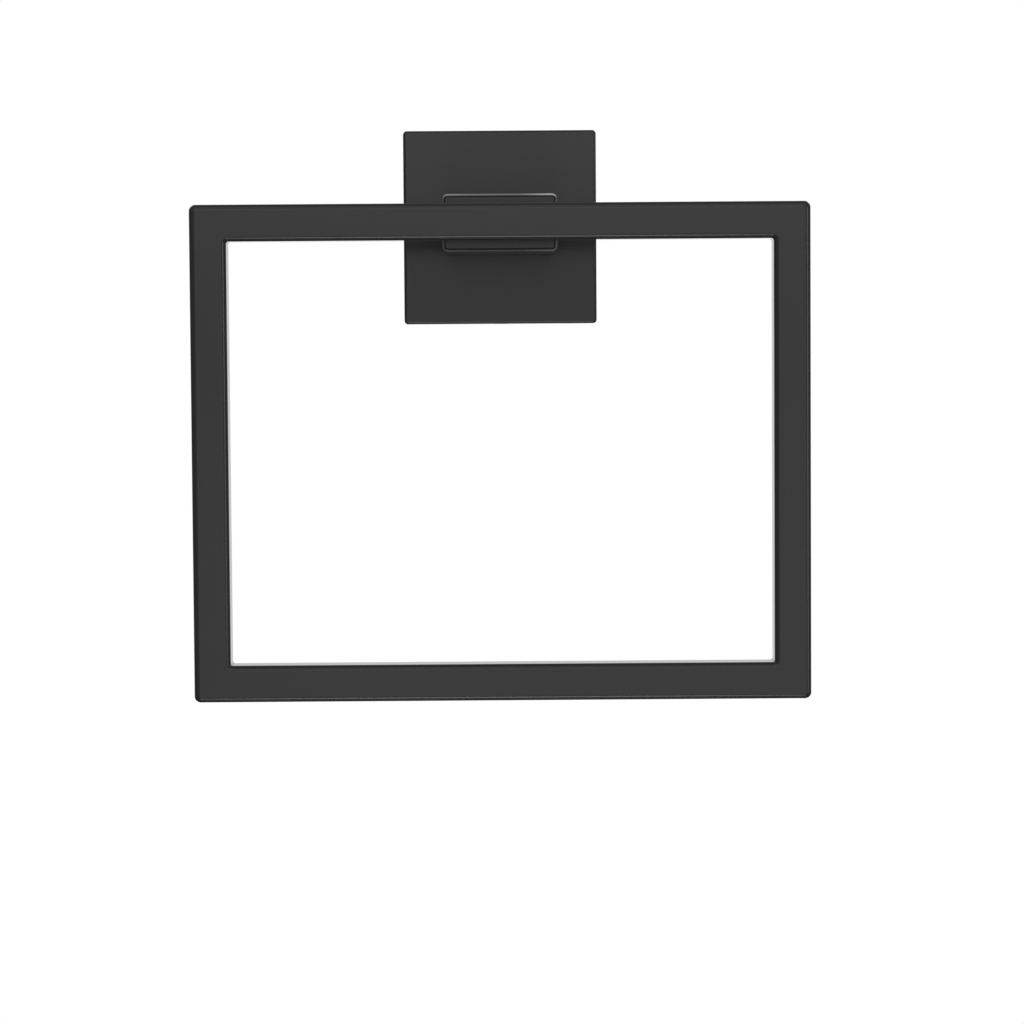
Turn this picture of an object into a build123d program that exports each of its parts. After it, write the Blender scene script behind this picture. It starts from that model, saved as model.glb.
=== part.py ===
from build123d import *
import os
from math import cos, radians, sin, tan

# Fixed towel ring for a wall, in millimetres.
# The wall is the plane Y = 0, the front faces -Y and +Z is up. The axis of the neck is the Y axis.
# A depth is a distance from the wall towards the front, so Plane.XZ.offset(depth) lies at that depth.

# Ring of square bar, mitred and welded to a closed rectangle
RING_WIDTH = 160.0
RING_HEIGHT = 128.6
BAR = 9.5
BAR_EDGE_R = 1.5
RING_CORNER_R = 1.6
RING_WELD_R = 0.6

# Neck, a rectangular tube from the cover to the back of the top bar
NECK_WIDTH = 30.0
NECK_HEIGHT = 15.0
NECK_CORNER_R = 1.4
NECK_WALL = 0.6
NECK_REACH = 30.5
NECK_RIM_CHAMFER = 0.2

# Plug and anchor, brazed into the two ends of the neck
BRAZE_GAP = 0.08
PLUG_LENGTH = 4.0
PLUG_CHAMFER = 0.2
ANCHOR_LENGTH = 12.0
TAPPING_CHAMFER = 0.5

# Cover, a square casting that is hollow towards the wall
COVER_SIZE = 52.0
COVER_DEPTH = 10.0
COVER_CORNER_R = 1.0
COVER_EDGE_R = 0.8
COVER_SIDE = 3.0
COVER_FRONT = 3.0
POCKET_CORNER_R = 2.0
POCKET_FLOOR_R = 1.0
SOCKET_DEPTH = 1.0
SOCKET_GAP = 0.1

# Screw that draws the neck into the socket of the cover
NECK_SCREW_D = 6.0
NECK_SCREW_LENGTH = 12.0
NECK_SCREW_TIP = 0.8
NECK_SCREW_HEAD_D = 10.0
NECK_SCREW_HEAD_H = 4.0
NECK_SCREW_HEAD_CHAMFER = 0.5
NECK_SCREW_KEY = 4.0
NECK_SCREW_KEY_DEPTH = 2.3
NECK_SCREW_HOLE_D = 6.6
THREAD_GAP = 0.05

# Wall bracket, one folded sheet with a slanted flange above and below
SHEET = 2.0
BRACKET_WIDTH = 40.0
BRACKET_BEND_Z = 13.0
BRACKET_BEND_R = 2.0
FLANGE_LENGTH = 6.0
FLANGE_ANGLE = 45.0
FLANGE_CORNER_R = 3.0
SLOT_WIDTH = 4.6
SLOT_LENGTH = 8.0
SLOT_SPACING = 26.0

# Hook inside the top of the cover, which drops behind the upper flange
HOOK_WIDTH = 22.0
HOOK_SETBACK = 0.8
HOOK_LIP = 1.0
HOOK_DEPTH = 4.4
HOOK_GAP = 0.1

# Grub screw in the underside of the cover, whose cone wedges behind the lower flange
GRUB_D = 4.0
GRUB_RECESS = 0.5
GRUB_POINT_D = 0.8
GRUB_END_CHAMFER = 0.4
GRUB_KEY = 2.0
GRUB_KEY_DEPTH = 2.5
GRUB_SETBACK = 3.4
GRUB_GAP = 0.1

# Depths and sizes that follow from those above
BAR_BACK = COVER_DEPTH + NECK_REACH
POCKET_DEPTH = COVER_DEPTH - COVER_FRONT
NECK_SEAT = COVER_DEPTH - SOCKET_DEPTH
BORE_WIDTH = NECK_WIDTH - 2 * NECK_WALL
BORE_HEIGHT = NECK_HEIGHT - 2 * NECK_WALL
BORE_CORNER_R = NECK_CORNER_R - NECK_WALL
POCKET_SIZE = COVER_SIZE - 2 * COVER_SIDE
HOOK_ROOT_Z = (COVER_SIZE - COVER_SIDE) / 2

# The wall side of a flange is the line z = flange_z(depth), mirrored for the lower flange
SLANT = tan(radians(FLANGE_ANGLE))
FLANGE_RISE = FLANGE_LENGTH * cos(radians(FLANGE_ANGLE))
FLANGE_RUN = FLANGE_LENGTH * sin(radians(FLANGE_ANGLE))


def flange_z(depth, gap):
    """Height of the slanted line that runs at this gap from the wall side of the upper flange."""
    return BRACKET_BEND_Z + (depth - SHEET / 2) / SLANT + (SHEET / 2 + gap) / sin(radians(FLANGE_ANGLE))


os.makedirs("parts", exist_ok=True)

# Ring
with BuildPart() as ring:
    with BuildSketch(Plane.XZ.offset(BAR_BACK)):
        with Locations((0, (BAR - RING_HEIGHT) / 2)):
            RectangleRounded(RING_WIDTH, RING_HEIGHT, RING_CORNER_R)
            RectangleRounded(RING_WIDTH - 2 * BAR, RING_HEIGHT - 2 * BAR, RING_WELD_R, mode=Mode.SUBTRACT)
    extrude(amount=BAR)
    fillet(ring.faces().filter_by(Axis.Y).edges(), BAR_EDGE_R)
ring.part.label = "ring"
export_step(ring.part, "parts/ring.step")

# Neck
with BuildPart() as neck:
    with BuildSketch(Plane.XZ.offset(NECK_SEAT)):
        RectangleRounded(NECK_WIDTH, NECK_HEIGHT, NECK_CORNER_R)
        RectangleRounded(BORE_WIDTH, BORE_HEIGHT, BORE_CORNER_R, mode=Mode.SUBTRACT)
    extrude(amount=BAR_BACK - NECK_SEAT)
    chamfer(neck.faces().sort_by(Axis.Y)[0].edges(), NECK_RIM_CHAMFER)
neck.part.label = "neck"
export_step(neck.part, "parts/neck.step")

# Plug in the front of the neck, chamfered so that a groove runs round inside the rim
with BuildPart() as neck_end_plug:
    with BuildSketch(Plane.XZ.offset(BAR_BACK)):
        RectangleRounded(BORE_WIDTH - 2 * BRAZE_GAP, BORE_HEIGHT - 2 * BRAZE_GAP, BORE_CORNER_R - BRAZE_GAP)
    extrude(amount=-PLUG_LENGTH)
    chamfer(neck_end_plug.faces().sort_by(Axis.Y)[0].edges(), PLUG_CHAMFER)
neck_end_plug.part.label = "neck_end_plug"
export_step(neck_end_plug.part, "parts/neck_end_plug.step")

# Anchor block in the wall end of the neck, tapped for the neck screw
with BuildPart() as neck_anchor:
    with BuildSketch(Plane.XZ.offset(NECK_SEAT)):
        RectangleRounded(BORE_WIDTH - 2 * BRAZE_GAP, BORE_HEIGHT - 2 * BRAZE_GAP, BORE_CORNER_R - BRAZE_GAP)
    extrude(amount=ANCHOR_LENGTH)
    with Locations(Plane.XZ.offset(NECK_SEAT)):
        Hole(NECK_SCREW_D / 2 + THREAD_GAP)
    chamfer(neck_anchor.edges().filter_by(GeomType.CIRCLE), TAPPING_CHAMFER)
neck_anchor.part.label = "neck_anchor"
export_step(neck_anchor.part, "parts/neck_anchor.step")

# Cover: outer block, pocket, socket for the neck, hook and the two screw holes
with BuildPart() as cover:
    with BuildSketch(Plane.XZ):
        RectangleRounded(COVER_SIZE, COVER_SIZE, COVER_CORNER_R)
    extrude(amount=COVER_DEPTH)
    fillet(cover.faces().sort_by(Axis.Y)[0].edges(), COVER_EDGE_R)
    with BuildSketch(Plane.XZ):
        RectangleRounded(POCKET_SIZE, POCKET_SIZE, POCKET_CORNER_R)
    extrude(amount=POCKET_DEPTH, mode=Mode.SUBTRACT)
    pocket_floor = cover.faces().filter_by(Axis.Y).sort_by(Axis.Y)[1]
    fillet(pocket_floor.edges(), POCKET_FLOOR_R)
    with BuildSketch(Plane.XZ.offset(NECK_SEAT)):
        RectangleRounded(
            NECK_WIDTH + 2 * SOCKET_GAP, NECK_HEIGHT + 2 * SOCKET_GAP, NECK_CORNER_R + SOCKET_GAP
        )
    extrude(amount=SOCKET_DEPTH, mode=Mode.SUBTRACT)
    with Locations(Plane.XZ.offset(NECK_SEAT)):
        Hole(NECK_SCREW_HOLE_D / 2)
    with BuildSketch(Plane.YZ):
        with BuildLine():
            Polyline(
                (-HOOK_SETBACK, HOOK_ROOT_Z),
                (-HOOK_SETBACK, flange_z(HOOK_SETBACK + HOOK_LIP, HOOK_GAP)),
                (-HOOK_SETBACK - HOOK_LIP, flange_z(HOOK_SETBACK + HOOK_LIP, HOOK_GAP)),
                (-HOOK_DEPTH, flange_z(HOOK_DEPTH, HOOK_GAP)),
                (-HOOK_DEPTH, HOOK_ROOT_Z),
                close=True,
            )
        make_face()
    extrude(amount=HOOK_WIDTH / 2, both=True)
    underside = Plane(origin=(0, -GRUB_SETBACK, -COVER_SIZE / 2), x_dir=(1, 0, 0), z_dir=(0, 0, -1))
    with Locations(underside):
        Hole(GRUB_D / 2 + THREAD_GAP, depth=2 * COVER_SIDE)
cover.part.label = "cover"
export_step(cover.part, "parts/cover.step")

# Neck screw with a low cylindrical head, turned about the axis of the neck
with BuildPart() as neck_screw:
    head_end = NECK_SCREW_HEAD_H - POCKET_DEPTH
    shank_end = -NECK_SCREW_LENGTH - POCKET_DEPTH
    with BuildSketch(Plane.XY):
        with BuildLine():
            Polyline(
                (0, head_end),
                (NECK_SCREW_HEAD_D / 2 - NECK_SCREW_HEAD_CHAMFER, head_end),
                (NECK_SCREW_HEAD_D / 2, head_end - NECK_SCREW_HEAD_CHAMFER),
                (NECK_SCREW_HEAD_D / 2, -POCKET_DEPTH),
                (NECK_SCREW_D / 2, -POCKET_DEPTH),
                (NECK_SCREW_D / 2, shank_end + NECK_SCREW_TIP),
                (NECK_SCREW_D / 2 - NECK_SCREW_TIP, shank_end),
                (0, shank_end),
                close=True,
            )
        make_face()
    revolve(axis=Axis.Y)
    with BuildSketch(Plane.XZ.offset(POCKET_DEPTH - NECK_SCREW_HEAD_H)):
        RegularPolygon(NECK_SCREW_KEY / 2, 6, major_radius=False)
    extrude(amount=NECK_SCREW_KEY_DEPTH, mode=Mode.SUBTRACT)
neck_screw.part.label = "neck_screw"
export_step(neck_screw.part, "parts/neck_screw.step")

# Wall bracket, folded from one strip of sheet, with its flange corners rounded and two slots
with BuildPart() as wall_bracket:
    with BuildSketch(Plane.YZ):
        with BuildLine():
            FilletPolyline(
                (-SHEET / 2 - FLANGE_RUN, BRACKET_BEND_Z + FLANGE_RISE),
                (-SHEET / 2, BRACKET_BEND_Z),
                (-SHEET / 2, -BRACKET_BEND_Z),
                (-SHEET / 2 - FLANGE_RUN, -BRACKET_BEND_Z - FLANGE_RISE),
                radius=BRACKET_BEND_R,
            )
        trace(line_width=SHEET)
    extrude(amount=BRACKET_WIDTH / 2, both=True)
    flange_ends = wall_bracket.faces().sort_by(Axis.Y)[:2]
    fillet(flange_ends.edges().filter_by(Axis.X, reverse=True), FLANGE_CORNER_R)
    with BuildSketch(Plane.XZ):
        with GridLocations(SLOT_SPACING, 0, 2, 1):
            SlotOverall(SLOT_LENGTH, SLOT_WIDTH)
    extrude(amount=SHEET, mode=Mode.SUBTRACT)
wall_bracket.part.label = "wall_bracket"
export_step(wall_bracket.part, "parts/wall_bracket.step")

# Grub screw with a hexagon socket below and a cone point above
with BuildPart() as grub_screw:
    point_z = -flange_z(GRUB_SETBACK, GRUB_GAP)
    tip_z = point_z - GRUB_POINT_D / 2 / SLANT
    shoulder_z = point_z - GRUB_D / 2 / SLANT
    end_z = GRUB_RECESS - COVER_SIZE / 2
    grub_axis = Axis((0, -GRUB_SETBACK, 0), (0, 0, 1))
    with BuildSketch(Plane.XZ.offset(GRUB_SETBACK)):
        with BuildLine():
            Polyline(
                (0, tip_z),
                (GRUB_POINT_D / 2, tip_z),
                (GRUB_D / 2, shoulder_z),
                (GRUB_D / 2, end_z + GRUB_END_CHAMFER),
                (GRUB_D / 2 - GRUB_END_CHAMFER, end_z),
                (0, end_z),
                close=True,
            )
        make_face()
    revolve(axis=grub_axis)
    with BuildSketch(Plane(origin=(0, -GRUB_SETBACK, end_z))):
        RegularPolygon(GRUB_KEY / 2, 6, major_radius=False)
    extrude(amount=GRUB_KEY_DEPTH, mode=Mode.SUBTRACT)
grub_screw.part.label = "grub_screw"
export_step(grub_screw.part, "parts/grub_screw.step")
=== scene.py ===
from math import pi, radians

import bpy
import numpy as np
from mathutils import Matrix, Vector


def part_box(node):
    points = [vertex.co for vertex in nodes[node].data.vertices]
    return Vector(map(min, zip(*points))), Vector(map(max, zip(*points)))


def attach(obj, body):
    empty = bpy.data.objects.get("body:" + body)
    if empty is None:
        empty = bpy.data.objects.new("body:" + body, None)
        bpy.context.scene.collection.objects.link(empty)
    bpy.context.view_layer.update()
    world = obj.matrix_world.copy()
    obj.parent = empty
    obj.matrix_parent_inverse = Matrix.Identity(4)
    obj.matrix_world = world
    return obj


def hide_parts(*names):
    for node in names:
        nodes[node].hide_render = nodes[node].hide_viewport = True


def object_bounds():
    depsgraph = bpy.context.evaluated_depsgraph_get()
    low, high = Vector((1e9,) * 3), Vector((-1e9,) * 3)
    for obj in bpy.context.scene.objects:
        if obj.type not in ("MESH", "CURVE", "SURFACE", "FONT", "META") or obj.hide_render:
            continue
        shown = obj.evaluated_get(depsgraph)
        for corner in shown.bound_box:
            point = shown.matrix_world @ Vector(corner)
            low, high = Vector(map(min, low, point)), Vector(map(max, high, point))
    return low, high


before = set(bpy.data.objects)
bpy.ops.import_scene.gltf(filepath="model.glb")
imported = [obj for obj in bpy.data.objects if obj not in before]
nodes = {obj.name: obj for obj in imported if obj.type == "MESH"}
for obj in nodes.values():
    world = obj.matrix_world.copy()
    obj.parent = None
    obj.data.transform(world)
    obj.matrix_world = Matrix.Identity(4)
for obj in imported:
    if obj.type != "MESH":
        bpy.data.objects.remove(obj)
cad_low, cad_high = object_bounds()

MM = 0.001
WHITE = (1.0, 1.0, 1.0, 1.0)

# Camera, in metres: a little above the middle of the ring, tipped down, with a slight roll
CAMERA_PLACE = (0.000995, -0.841151, -0.032744)
CAMERA_LENS = 107.892
CAMERA_SENSOR = 36.0
CAMERA_YAW = radians(-0.119)
CAMERA_PITCH = radians(-3.047)
CAMERA_ROLL = radians(0.391)

# Studio light, in metres and watts: soft boxes as place, width, height and power
SOFT_BOXES = {
    "key_light": ((0.06, -1.50, 0.24), 0.90, 0.45, 2.3),
    "front_light": ((0.12, -1.50, -0.42), 1.00, 0.80, 3.5),
    "top_light": ((0.0, -0.95, 0.75), 1.20, 1.20, 5.4),
    "low_light": ((0.0, -0.80, -1.00), 0.40, 0.40, 4.0),
    "side_light": ((1.00, -0.80, -0.05), 0.48, 0.48, 2.8),
    "rear_left_light": ((-1.00, 0.90, 0.95), 0.80, 0.80, 6.5),
    "rear_right_light": ((1.00, 0.90, 0.95), 0.80, 0.80, 6.5),
}
LIGHT_AIM = (0.0, -0.045, -0.05)

# Even light around them, from below and from above, and the white backdrop that reflections show
AMBIENT = (0.03, 0.28)
AMBIENT_HEIGHT = (-0.60, 0.10)
BACKDROP_DEPTH = (0.80, 0.96)
BACKDROP_HEIGHT = (-0.20, -0.10)

# Floor, a pale disc that fades out at its rim, as far below as such a ring hangs above a floor
FLOOR_DROP = 1.00
FLOOR_RADIUS = 0.40
FLOOR_COLUMNS = 96
FLOOR_FADE = (0.98, 0.35)
FLOOR_COLOUR = (0.80, 0.80, 0.80, 1.0)
FLOOR_ROUGH = 0.9
FLOOR_LIFT = 0.35

# Brushed grain: size of a streak, and the noise of the streaks and of the slow drift in tone
STREAK_LENGTH = 30 * MM
STREAK_WIDTH = 0.25 * MM
STREAK_DETAIL = 3.0
STREAK_ROUGHNESS = 0.6
DRIFT_SCALE = 45.0
DRIFT_DETAIL = 2.0

# Satin black coat: its colours, its gloss, which clears as a face turns away, and its relief
COAT_DARK = (0.020, 0.020, 0.020, 1.0)
COAT_LIGHT = (0.025, 0.025, 0.025, 1.0)
COAT_SPECULAR = 0.20
COAT_ROUGH = (0.18, 0.22)
COAT_GLANCE = (0.75, 0.90)  # on a scale from 0, face on, to 1, edge on
COAT_GLANCE_ROUGH = 0.2  # share of the roughness that is left there
COAT_GRAIN = 0.3
COAT_BUMP = 0.03
COAT_RELIEF = 0.05 * MM
SKIN_BUMP_SIZE = 0.8 * MM
SKIN_DETAIL = 1.0

# Front rim of the neck: paler where it is worn, with a painted highlight along its upper edge and painted
# glints that make it nearly white towards its ends
RIM_COLOUR = (0.23, 0.23, 0.23, 1.0)
# painted glint: near-white colour at the ends of the rim, standing in for light caught there
RIM_GLINT_COLOUR = (0.52, 0.52, 0.52, 1.0)
RIM_DEPTH = 0.4 * MM
# painted highlight: weak below the upper edge, full along it, where light from above falls
RIM_WEAR_AND_HIGHLIGHT = (0.18, 1.0)  # below the upper edge, and along it
RIM_EDGE = 1.2 * MM
RIM_RIGHT = (5 * MM, 13 * MM)
RIM_LEFT = (-6 * MM, -14 * MM)
RIM_LEFT_SHARE = 0.3  # of the painted glint at the right end

# Steel of the hidden pieces: streaks and relief that all share, then the tones and gloss of each
STEEL_STREAK_LENGTH = 12 * MM
STEEL_STREAK_WIDTH = 0.18 * MM
STEEL_BUMP = 0.2
STEEL_RELIEF = 0.04 * MM
ZINC_DARK = (0.46, 0.46, 0.47, 1.0)
ZINC_LIGHT = (0.60, 0.60, 0.60, 1.0)
ZINC_ROUGH = (0.32, 0.50)
SCREW_DARK = (0.42, 0.43, 0.45, 1.0)
SCREW_LIGHT = (0.56, 0.57, 0.58, 1.0)
SCREW_ROUGH = (0.28, 0.40)
BLOCK_DARK = (0.30, 0.29, 0.28, 1.0)
BLOCK_LIGHT = (0.40, 0.39, 0.38, 1.0)
BLOCK_ROUGH = (0.40, 0.60)

# Screws, in millimetres: outlines as distance from the socket end and radius, keys as width and depth
THREAD_COLUMNS = 96
ROWS_PER_PITCH = 18
THREAD_DEPTH_SHARE = 0.6134
CREST_SHARE = 1 / 8
ROOT_SHARE = 1 / 4
SHARP_ANGLE = radians(35)
NECK_SCREW_HEAD = ((0.0, 4.5), (0.5, 5.0), (4.0, 5.0))
NECK_SCREW_SHANK = ((4.0, 3.0), (15.2, 3.0), (16.0, 2.2))
NECK_SCREW_PITCH = 1.0
NECK_SCREW_KEY = (4.0, 2.3)
GRUB_CHAMFER = 0.4
GRUB_R = 2.0
GRUB_POINT_R = 0.4
GRUB_PITCH = 0.7
GRUB_KEY = (2.0, 2.5)

# Places of a Mix node's two inputs and of its output, by what it mixes
MIX_SOCKETS = {"VECTOR": (4, 5, 1), "RGBA": (6, 7, 2)}


def put(tree, socket, value):
    """Links another node's output to a socket, or sets the socket's own value."""
    if isinstance(value, bpy.types.NodeSocket):
        tree.links.new(value, socket)
    else:
        socket.default_value = value


def add(tree, kind, inputs=None, **settings):
    """One node of this kind, with its settings and the values or links of its inputs."""
    node = tree.nodes.new(kind)
    for name, value in settings.items():
        setattr(node, name, value)
    for name, value in (inputs or {}).items():
        put(tree, node.inputs[name], value)
    return node


def calc(tree, operation, *values):
    """Output of a Math node that works on these values or links."""
    return add(tree, "ShaderNodeMath", dict(enumerate(values)), operation=operation).outputs[0]


def ranged(tree, value, low, high):
    """Output of a Map Range node that spreads a 0 to 1 value from low to high."""
    inputs = {"Value": value, "To Min": low, "To Max": high}
    return add(tree, "ShaderNodeMapRange", inputs).outputs["Result"]


def eased(tree, value, start, stop):
    """Output of a Map Range node that rises smoothly from 0 at the start to 1 at the stop."""
    inputs = {"Value": value, "From Min": start, "From Max": stop}
    return add(tree, "ShaderNodeMapRange", inputs, interpolation_type="SMOOTHSTEP").outputs["Result"]


def vector(tree, operation, *values):
    """Outputs of a Vector Math node that works on these values or links."""
    return add(tree, "ShaderNodeVectorMath", dict(enumerate(values)), operation=operation).outputs


def parts_of(tree, value):
    """The X, Y and Z outputs of a vector."""
    return add(tree, "ShaderNodeSeparateXYZ", {0: value}).outputs


def joined(tree, x, y, z):
    """Output of a node that makes a vector of three values."""
    return add(tree, "ShaderNodeCombineXYZ", {"X": x, "Y": y, "Z": z}).outputs[0]


def noise(tree, place, scale, detail, roughness=0.5):
    """Output of a Noise Texture node, from 0 to 1."""
    inputs = {"Vector": place, "Scale": scale, "Detail": detail, "Roughness": roughness}
    return add(tree, "ShaderNodeTexNoise", inputs).outputs["Fac"]


def blended(tree, factor, first, second, kind="RGBA"):
    """Output of a Mix node between two colours, or between two vectors."""
    first_place, second_place, output_place = MIX_SOCKETS[kind]
    inputs = {0: factor, first_place: first, second_place: second}
    return add(tree, "ShaderNodeMix", inputs, data_type=kind).outputs[output_place]


def bumped(tree, height, strength, relief):
    """Output of a Bump node, for a height from 0 to 1 that stands for this much relief in metres."""
    inputs = {"Height": height, "Strength": strength, "Distance": relief}
    return add(tree, "ShaderNodeBump", inputs).outputs["Normal"]


def new_group(name, inputs, outputs):
    """Shader node group with these named inputs, as kind and default, and these named value outputs."""
    tree = bpy.data.node_groups.new(name, "ShaderNodeTree")
    for label, (kind, default) in inputs.items():
        socket = tree.interface.new_socket(label, in_out="INPUT", socket_type=kind)
        if default is not None:
            socket.default_value = default
    for label in outputs:
        tree.interface.new_socket(label, in_out="OUTPUT", socket_type="NodeSocketFloat")
    return tree, tree.nodes.new("NodeGroupInput").outputs, tree.nodes.new("NodeGroupOutput").inputs


def make_brushing():
    """Group: noise drawn out along X into fine parallel streaks, from 0 to 1, and a broad slow drift."""
    tree, given, result = new_group(
        "brushing",
        {
            "Vector": ("NodeSocketVector", None),
            "Streak Length": ("NodeSocketFloat", STREAK_LENGTH),
            "Streak Width": ("NodeSocketFloat", STREAK_WIDTH),
        },
        ("Streaks", "Drift"),
    )
    along = calc(tree, "DIVIDE", 1.0, given["Streak Length"])
    across = calc(tree, "DIVIDE", 1.0, given["Streak Width"])
    drawn = vector(tree, "MULTIPLY", given["Vector"], joined(tree, along, across, across))[0]
    put(tree, result["Streaks"], noise(tree, drawn, 1.0, STREAK_DETAIL, STREAK_ROUGHNESS))
    put(tree, result["Drift"], noise(tree, given["Vector"], DRIFT_SCALE, DRIFT_DETAIL))
    return tree


def make_coat_skin():
    """Group: the soft bumps of a sprayed and baked coat, from 0 to 1."""
    tree, given, result = new_group(
        "coat_skin",
        {"Vector": ("NodeSocketVector", None), "Bump Size": ("NodeSocketFloat", SKIN_BUMP_SIZE)},
        ("Height",),
    )
    scale = calc(tree, "DIVIDE", 1.0, given["Bump Size"])
    put(tree, result["Height"], noise(tree, given["Vector"], scale, SKIN_DETAIL))
    return tree


BRUSHING = make_brushing()
COAT_SKIN = make_coat_skin()


def new_material(name):
    """Empty material with its shader, and the Object coordinates of the piece it is put on."""
    material = bpy.data.materials.new(name)
    material.use_nodes = True
    tree = material.node_tree
    tree.nodes.clear()
    shader = tree.nodes.new("ShaderNodeBsdfPrincipled")
    output = tree.nodes.new("ShaderNodeOutputMaterial")
    tree.links.new(shader.outputs["BSDF"], output.inputs["Surface"])
    place = tree.nodes.new("ShaderNodeTexCoord").outputs["Object"]
    return material, tree, shader, place


def grain_along_x(tree, place):
    """Brushed from side to side."""
    return place


def grain_along_y(tree, place):
    """Drawn along the neck: the axes are turned so that Y comes first."""
    apart = parts_of(tree, place)
    return joined(tree, apart["Y"], apart["X"], apart["Z"])


def grain_along_bars(tree, place):
    """Brushed along each bar of the ring, changing direction at the mitres.

    A point belongs to an upright bar where it is nearer to the ring's left or right edge than to its
    top or bottom edge, and there X and Z change places.
    """
    low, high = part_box("ring")
    apart = parts_of(tree, place)
    middle = (low.z + high.z) / 2
    height = calc(tree, "SUBTRACT", apart["Z"], middle)
    to_side = calc(tree, "SUBTRACT", high.x, calc(tree, "ABSOLUTE", apart["X"]))
    to_end = calc(tree, "SUBTRACT", high.z - middle, calc(tree, "ABSOLUTE", height))
    upright = calc(tree, "LESS_THAN", to_side, to_end)
    turned = joined(tree, apart["Z"], apart["Y"], apart["X"])
    return blended(tree, upright, place, turned, "VECTOR")


def rim_wear_and_highlight(tree, place, coat):
    """Colour of the neck's coat, paler at the front rim where it is worn, with a painted highlight along
    its upper edge.

    Towards both ends of the rim a painted glint makes it nearly white, more so at the right.
    """
    low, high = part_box("neck")
    apart = parts_of(tree, place)
    front = eased(tree, apart["Y"], low.y + RIM_DEPTH, low.y)
    # painted highlight: the rim's upper edge is coloured paler than its lower part
    wear_and_highlight = ranged(tree, eased(tree, apart["Z"], high.z - RIM_EDGE, high.z), *RIM_WEAR_AND_HIGHLIGHT)
    # painted glints towards both ends of the rim, stronger at the right
    left = calc(tree, "MULTIPLY", eased(tree, apart["X"], *RIM_LEFT), RIM_LEFT_SHARE)
    ends = calc(tree, "MAXIMUM", eased(tree, apart["X"], *RIM_RIGHT), left)
    rim_with_glints = blended(tree, ends, RIM_COLOUR, RIM_GLINT_COLOUR)
    return blended(tree, calc(tree, "MULTIPLY", front, wear_and_highlight), coat, rim_with_glints)


def satin_black(name, grain, wear_and_highlight=None):
    """Satin black coat over brushed metal: faint streaks along the grain show through a sprayed skin.

    At a glancing angle its gloss is clearer, as a satin coat's is. Where a function for wear and painted
    highlight is given, it changes the coat's colour.
    """
    material, tree, shader, place = new_material(name)
    brushing = add(tree, "ShaderNodeGroup", {"Vector": grain(tree, place)}, node_tree=BRUSHING)
    skin = add(tree, "ShaderNodeGroup", {"Vector": place}, node_tree=COAT_SKIN)
    streaks = brushing.outputs["Streaks"]
    colour = blended(tree, streaks, COAT_DARK, COAT_LIGHT)
    if wear_and_highlight is not None:
        # on the neck this adds a painted highlight to the rim as well as wear
        colour = wear_and_highlight(tree, place, colour)
    put(tree, shader.inputs["Base Color"], colour)
    glance = eased(tree, add(tree, "ShaderNodeLayerWeight").outputs["Facing"], *COAT_GLANCE)
    rough = ranged(tree, brushing.outputs["Drift"], *COAT_ROUGH)
    rough = calc(tree, "MULTIPLY", rough, ranged(tree, glance, 1.0, COAT_GLANCE_ROUGH))
    put(tree, shader.inputs["Roughness"], rough)
    shader.inputs["Specular IOR Level"].default_value = COAT_SPECULAR
    relief = calc(tree, "ADD", calc(tree, "MULTIPLY", streaks, COAT_GRAIN), skin.outputs["Height"])
    put(tree, shader.inputs["Normal"], bumped(tree, relief, COAT_BUMP, COAT_RELIEF))
    return material


def plated_steel(name, grain, dark, light, rough):
    """Plated or bare steel: metal with streaks along the grain and a slow change of tone."""
    material, tree, shader, place = new_material(name)
    inputs = {
        "Vector": grain(tree, place),
        "Streak Length": STEEL_STREAK_LENGTH,
        "Streak Width": STEEL_STREAK_WIDTH,
    }
    brushing = add(tree, "ShaderNodeGroup", inputs, node_tree=BRUSHING)
    streaks = brushing.outputs["Streaks"]
    put(tree, shader.inputs["Base Color"], blended(tree, brushing.outputs["Drift"], dark, light))
    put(tree, shader.inputs["Roughness"], ranged(tree, streaks, *rough))
    shader.inputs["Metallic"].default_value = 1.0
    put(tree, shader.inputs["Normal"], bumped(tree, streaks, STEEL_BUMP, STEEL_RELIEF))
    return material


def paint(piece, material):
    """Gives a piece this one material in place of any it had."""
    piece.data.materials.clear()
    piece.data.materials.append(material)


def thread_groove(turns):
    """Depth of a thread's groove after so many turns along the screw, 0 at the crest and 1 at the root.

    Over one turn it is a trapezoid: flat at the crest and at the root, with straight flanks between.
    """
    from_root = np.abs(turns % 1.0 - 0.5)
    half_opening = 0.5 - CREST_SHARE / 2
    return np.clip((half_opening - from_root) / (half_opening - ROOT_SHARE / 2), 0.0, 1.0)


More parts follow.
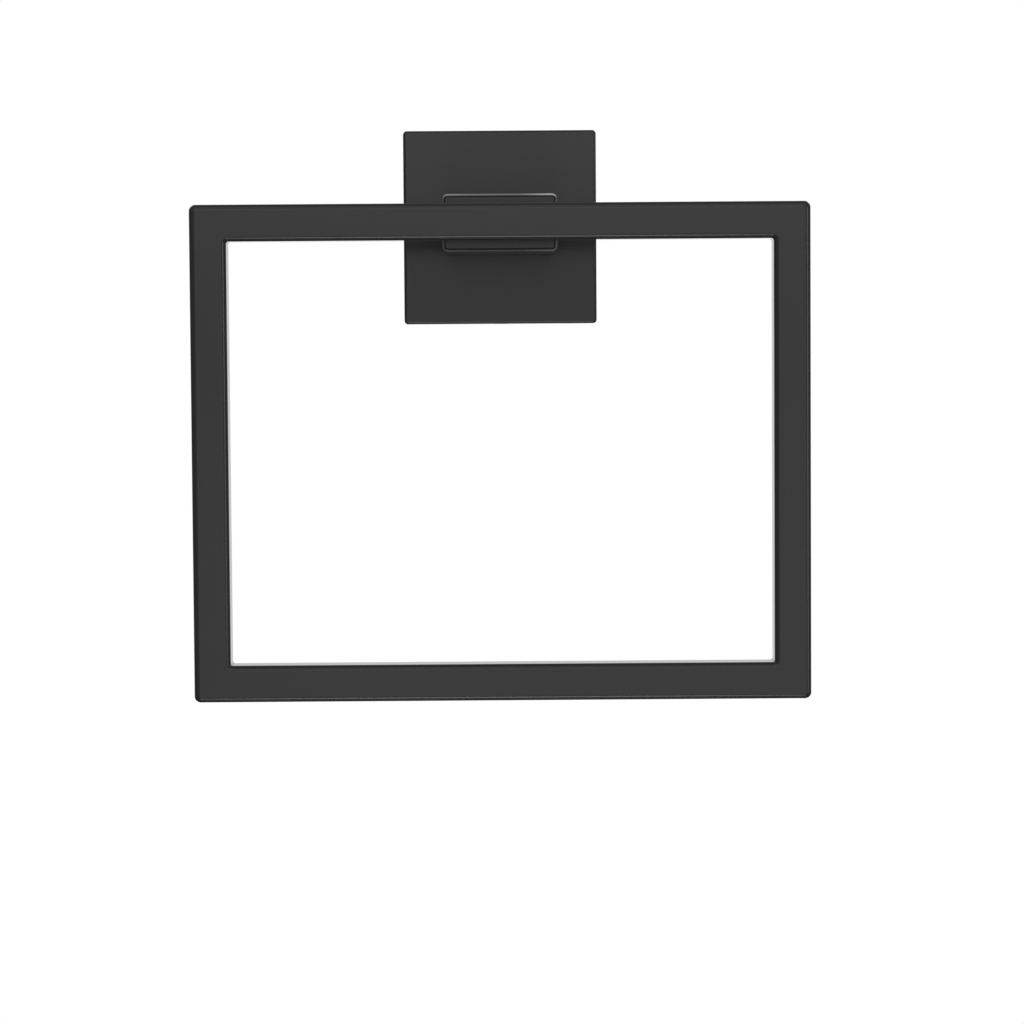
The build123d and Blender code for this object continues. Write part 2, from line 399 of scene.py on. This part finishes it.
def make_screw(name, end, axes, head, shank, pitch, key):
    """Screw with a cut thread and a hexagon socket, one closed surface turned about its axis.

    The first parameter runs from the middle of the socket's floor, up its wall, over the end face and
    along the head and shank to the tip, and the second goes once round. The radius is the outline's, and
    on the shank no more than its largest radius less a groove, which follows a helix that gains one pitch
    a turn and fades in over the first turn. In the socket the radius is half the key's width over the
    cosine of the angle from the middle of the nearest flat.
    """
    key_width, key_depth = key
    angle = np.linspace(0, 2 * pi, THREAD_COLUMNS, endpoint=False)
    one_flat = pi / 3
    socket = key_width / 2 / np.cos(angle % one_flat - one_flat / 2)
    corner_along, corner_radius = np.array(shank).T
    rows = int(ROWS_PER_PITCH * (corner_along[-1] - corner_along[0]) / pitch)
    along = np.linspace(corner_along[0], corner_along[-1], rows)[:, None]
    outline = np.interp(along, corner_along, corner_radius)
    fade = np.clip((along - corner_along[0]) / pitch, 0.0, 1.0)
    groove = fade * THREAD_DEPTH_SHARE * pitch * thread_groove(along / pitch - angle / (2 * pi))
    threaded = np.minimum(outline, corner_radius.max() - groove)
    head_along, head_radius = np.array(head).reshape(-1, 2).T[:, :, None]
    all_along = np.concatenate([[[key_depth], [0.0]], head_along, along])
    all_radius = np.concatenate([[socket, socket], head_radius * np.ones_like(angle), threaded])
    first, second, third = (np.array(axis) for axis in axes)
    ring = np.cos(angle)[:, None] * first + np.sin(angle)[:, None] * second
    points = (all_radius[:, :, None] * ring + all_along[:, :, None] * third).reshape(-1, 3)
    poles = np.array([key_depth, corner_along[-1]])[:, None] * third
    points = np.concatenate([points, poles]) * MM + np.array(end)
    index = np.arange(all_radius.size).reshape(all_radius.shape)
    after = np.roll(index, -1, axis=1)
    walls = np.stack([index[:-1], after[:-1], after[1:], index[1:]], axis=-1).reshape(-1, 4)
    floor_fan = np.stack([np.full(THREAD_COLUMNS, index.size), after[0], index[0]], axis=-1)
    tip_fan = np.stack([index[-1], after[-1], np.full(THREAD_COLUMNS, index.size + 1)], axis=-1)
    mesh = bpy.data.meshes.new(name)
    mesh.from_pydata(points.tolist(), [], walls.tolist() + floor_fan.tolist() + tip_fan.tolist())
    mesh.shade_smooth()
    mesh.set_sharp_from_angle(angle=SHARP_ANGLE)
    piece = bpy.data.objects.new(name, mesh)
    bpy.context.scene.collection.objects.link(piece)
    return piece


def make_neck_screw():
    """Screw that holds the neck, along -Y from its head inside the cover."""
    low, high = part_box("neck_screw")
    axes = ((1, 0, 0), (0, 0, 1), (0, -1, 0))
    end = ((low.x + high.x) / 2, high.y, (low.z + high.z) / 2)
    return make_screw(
        "threaded_neck_screw",
        end,
        axes,
        NECK_SCREW_HEAD,
        NECK_SCREW_SHANK,
        NECK_SCREW_PITCH,
        NECK_SCREW_KEY,
    )


def make_grub_screw():
    """Grub screw without a head, upwards from the underside of the cover to its cone point."""
    low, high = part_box("grub_screw")
    axes = ((1, 0, 0), (0, 1, 0), (0, 0, 1))
    end = ((low.x + high.x) / 2, (low.y + high.y) / 2, low.z)
    length = (high.z - low.z) / MM
    shank = (
        (0.0, GRUB_R - GRUB_CHAMFER),
        (GRUB_CHAMFER, GRUB_R),
        (length - GRUB_R + GRUB_POINT_R, GRUB_R),
        (length, GRUB_POINT_R),
    )
    return make_screw("threaded_grub_screw", end, axes, (), shank, GRUB_PITCH, GRUB_KEY)


def make_floor():
    """Floor: a flat pale disc below the ring, lifted to the white behind it and faded out at its rim.

    A point of its rim is the radius times the cosine and sine of its angle, all at one level.
    """
    angle = np.linspace(0, 2 * pi, FLOOR_COLUMNS, endpoint=False)
    level = np.full(FLOOR_COLUMNS, cad_low.z - FLOOR_DROP)
    rim = np.column_stack([np.cos(angle) * FLOOR_RADIUS, np.sin(angle) * FLOOR_RADIUS, level])
    mesh = bpy.data.meshes.new("floor")
    mesh.from_pydata(rim.tolist(), [], [list(range(FLOOR_COLUMNS))])
    floor = bpy.data.objects.new("floor", mesh)
    bpy.context.scene.collection.objects.link(floor)
    material, tree, shader, place = new_material("pale_floor")
    shader.inputs["Base Color"].default_value = FLOOR_COLOUR
    shader.inputs["Roughness"].default_value = FLOOR_ROUGH
    shader.inputs["Specular IOR Level"].default_value = 0.0
    light_path = tree.nodes.new("ShaderNodeLightPath").outputs
    seen = calc(tree, "MAXIMUM", light_path["Is Camera Ray"], light_path["Is Glossy Ray"])
    seen = calc(tree, "MAXIMUM", seen, light_path["Is Transmission Ray"])
    shader.inputs["Emission Color"].default_value = WHITE
    put(tree, shader.inputs["Emission Strength"], calc(tree, "MULTIPLY", seen, FLOOR_LIFT))
    flat = vector(tree, "MULTIPLY", place, (1.0, 1.0, 0.0))[0]
    share = calc(tree, "DIVIDE", vector(tree, "LENGTH", flat)["Value"], FLOOR_RADIUS)
    fade = eased(tree, share, *FLOOR_FADE)
    below = tree.nodes.new("ShaderNodeNewGeometry").outputs["Backfacing"]
    shown = calc(tree, "MULTIPLY", fade, calc(tree, "SUBTRACT", 1.0, below))
    put(tree, shader.inputs["Alpha"], shown)
    mesh.materials.append(material)
    floor.visible_shadow = False


def make_soft_box(name, place, width, height, power):
    """Soft box that faces the ring."""
    lamp = bpy.data.lights.new(name, "AREA")
    lamp.shape = "RECTANGLE"
    lamp.size = width
    lamp.size_y = height
    lamp.energy = power
    holder = bpy.data.objects.new(name, lamp)
    holder.location = place
    holder.rotation_euler = (Vector(LIGHT_AIM) - Vector(place)).to_track_quat("-Z", "Y").to_euler()
    holder.visible_camera = False
    bpy.context.scene.collection.objects.link(holder)


def make_world():
    """White background, which reflections show behind the object, and softer even light all round.

    The height and depth at which each sets in are those of a direction of length one.
    """
    world = bpy.data.worlds.new("studio")
    world.use_nodes = True
    bpy.context.scene.world = world
    tree = world.node_tree
    tree.nodes.clear()
    direction = tree.nodes.new("ShaderNodeTexCoord").outputs["Generated"]
    apart = parts_of(tree, direction)
    even_light = ranged(tree, eased(tree, apart["Z"], *AMBIENT_HEIGHT), *AMBIENT)
    behind = eased(tree, apart["Y"], *BACKDROP_DEPTH)
    backdrop = calc(tree, "MULTIPLY", behind, eased(tree, apart["Z"], *BACKDROP_HEIGHT))
    light_path = tree.nodes.new("ShaderNodeLightPath").outputs
    seen = calc(tree, "MAXIMUM", light_path["Is Camera Ray"], light_path["Is Transmission Ray"])
    seen = calc(tree, "MAXIMUM", seen, calc(tree, "MULTIPLY", light_path["Is Glossy Ray"], backdrop))
    background = add(tree, "ShaderNodeBackground", {"Color": WHITE})
    put(tree, background.inputs["Strength"], ranged(tree, seen, even_light, 1.0))
    output = tree.nodes.new("ShaderNodeOutputWorld")
    tree.links.new(background.outputs[0], output.inputs["Surface"])


def make_camera():
    """Camera in front of the ring, which looks along +Y."""
    lens = bpy.data.cameras.new("camera")
    lens.lens = CAMERA_LENS
    lens.sensor_width = CAMERA_SENSOR
    camera = bpy.data.objects.new("camera", lens)
    turn = Matrix.Rotation(CAMERA_YAW, 4, "Z") @ Matrix.Rotation(CAMERA_PITCH, 4, "X")
    turn = turn @ Matrix.Rotation(CAMERA_ROLL, 4, "Y") @ Matrix.Rotation(radians(90), 4, "X")
    camera.matrix_world = Matrix.Translation(CAMERA_PLACE) @ turn
    bpy.context.scene.collection.objects.link(camera)
    bpy.context.scene.camera = camera


paint(nodes["ring"], satin_black("satin_black_bars", grain_along_bars))
# the neck's rim carries wear and a painted highlight
paint(nodes["neck"], satin_black("satin_black_neck", grain_along_y, rim_wear_and_highlight))
paint(nodes["neck_end_plug"], satin_black("satin_black_plug", grain_along_x))
paint(nodes["cover"], satin_black("satin_black_cover", grain_along_x))
sheet_steel = plated_steel("zinc_plated_sheet", grain_along_x, ZINC_DARK, ZINC_LIGHT, ZINC_ROUGH)
paint(nodes["wall_bracket"], sheet_steel)
block_steel = plated_steel("bare_steel_block", grain_along_y, BLOCK_DARK, BLOCK_LIGHT, BLOCK_ROUGH)
paint(nodes["neck_anchor"], block_steel)
screw_steel = plated_steel("zinc_plated_screws", grain_along_x, SCREW_DARK, SCREW_LIGHT, SCREW_ROUGH)
for node, piece in (("neck_screw", make_neck_screw()), ("grub_screw", make_grub_screw())):
    paint(nodes[node], screw_steel)
    paint(piece, screw_steel)
    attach(piece, "root")
    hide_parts(node)

make_floor()
for name, settings in SOFT_BOXES.items():
    make_soft_box(name, *settings)
make_world()
make_camera()
bpy.context.scene.view_settings.view_transform = "Standard"
